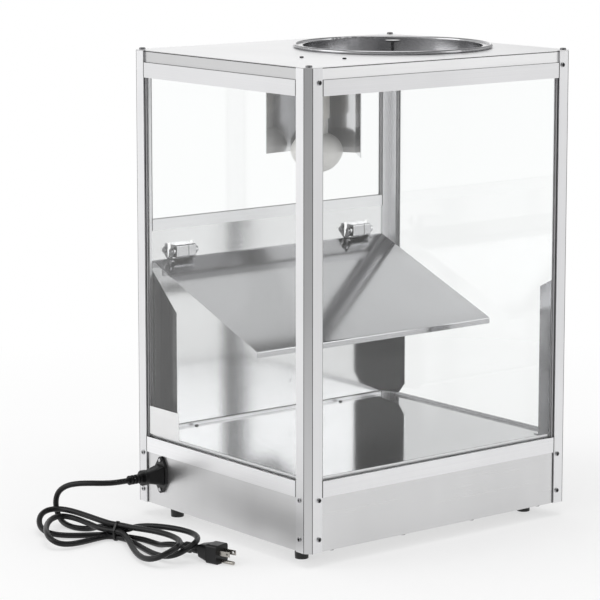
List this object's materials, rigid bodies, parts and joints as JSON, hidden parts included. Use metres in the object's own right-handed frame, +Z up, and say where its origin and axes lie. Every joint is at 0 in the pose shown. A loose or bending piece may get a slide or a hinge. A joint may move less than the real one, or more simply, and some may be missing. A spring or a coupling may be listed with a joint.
{
  "type": "chip warmer",
  "caption": "Glass-sided countertop display warmer for corn chips, with a lift-off top lid, a tip-out front door, a sloping baffle, a shielded lamp and a mains cord.",
  "frame": {"origin": "on the counter under the middle of the cabinet", "axes": "+Z up, -Y out of the front door, +X out of the side that carries the mains inlet"},
  "size_m": [0.6527, 0.3951, 0.641],
  "materials": {
    "post_aluminium": "satin anodised",
    "rail_aluminium": "satin anodised",
    "clear_glass": "clear toughened glass",
    "grey_seal": "matt grey rubber",
    "cover_steel": "brushed",
    "bright_steel": "finely brushed, soft reflections",
    "bin_steel": "polished sheet",
    "base_steel": "plain sheet",
    "screw_steel": "plain zinc",
    "black_screw": "black oxide",
    "hinge_chrome": "polished",
    "lid_steel": "satin",
    "mirror_steel": "soft mirror",
    "lamp_ceramic": "matt beige",
    "lamp_brass": "plain",
    "bulb_glass": "frosted white",
    "black_rubber": "matt",
    "black_plastic": "semi-gloss",
    "cord_black": "semi-gloss jacket",
    "tie_black": "matt",
    "plated_brass": "nickel plated",
    "element_sheath": "heat-stained",
    "stat_plastic": "phenolic brown",
    "block_plastic": "white",
    "wire_jacket": "silicone",
    "blank_plate": "blank white"
  },
  "bodies": {
    "cabinet": {"post_front_left": "post_aluminium", "post_front_right": "post_aluminium", "post_rear_left": "post_aluminium", "post_rear_right": "post_aluminium", "top_rails_long": "rail_aluminium", "top_rails_short": "rail_aluminium", "base_rails_long": "rail_aluminium", "base_rails_short": "rail_aluminium", "mid_rail": "rail_aluminium", "glass_front": "clear_glass", "glass_rear": "clear_glass", "glass_sides": "clear_glass", "glass_seals": "grey_seal", "top_cover": "cover_steel", "floor_pan": "bin_steel", "front_skirt": "bright_steel", "rear_skirt": "bright_steel", "right_skirt": "bright_steel", "left_skirt": "bright_steel", "base_plate": "base_steel", "feet": "black_rubber", "base_screws": "screw_steel", "frame_screws": "screw_steel", "top_screws": "screw_steel", "black_pan_screws": "black_screw", "corner_duct": "bin_steel", "side_label": "blank_plate", "header_plate": "bright_steel", "header_rivets": "screw_steel", "baffle": "bin_steel", "hinge_bodies": "hinge_chrome", "hinge_pins": "hinge_chrome", "lamp_shield": "mirror_steel", "lamp_holder": "lamp_ceramic", "lamp_cap": "lamp_brass", "lamp_bulb": "bulb_glass", "switch_frame": "black_plastic", "heating_element": "element_sheath", "element_clips": "base_steel", "thermostat": "stat_plastic", "terminal_block": "block_plastic", "wires": "wire_jacket", "inlet_body": "black_plastic", "inlet_screws": "screw_steel", "cord_connector": "cord_black", "cord_lead": "cord_black", "cord_hank": "cord_black", "cord_tail": "cord_black", "cord_tie": "tie_black", "plug_body": "cord_black", "plug_blades": "plated_brass", "plug_earth_pin": "plated_brass"},
    "door": {"door_panel": "bright_steel", "door_pull": "bright_steel", "door_rivets": "screw_steel", "door_hinge_arms": "hinge_chrome"},
    "lid": {"lid_pan": "lid_steel", "lid_knob": "lid_steel", "lid_knob_screw": "screw_steel"},
    "rocker": {"switch_rocker": "black_plastic"}
  },
  "joints": [
    {"name": "door_swing", "type": "hinge", "parent": "cabinet", "child": "door", "pos_m": [0, -0.1696, 0.357], "axis": [-1, 0, 0], "range_deg": [0, 85]},
    {"name": "lid_lift", "type": "slide", "parent": "cabinet", "child": "lid", "axis": [0, 0, 1], "range_m": [0, 0.06]},
    {"name": "rocker_tip", "type": "hinge", "parent": "cabinet", "child": "rocker", "pos_m": [0.15, -0.1785, 0.057], "axis": [-1, 0, 0], "range_deg": [0, 16]}
  ]
}
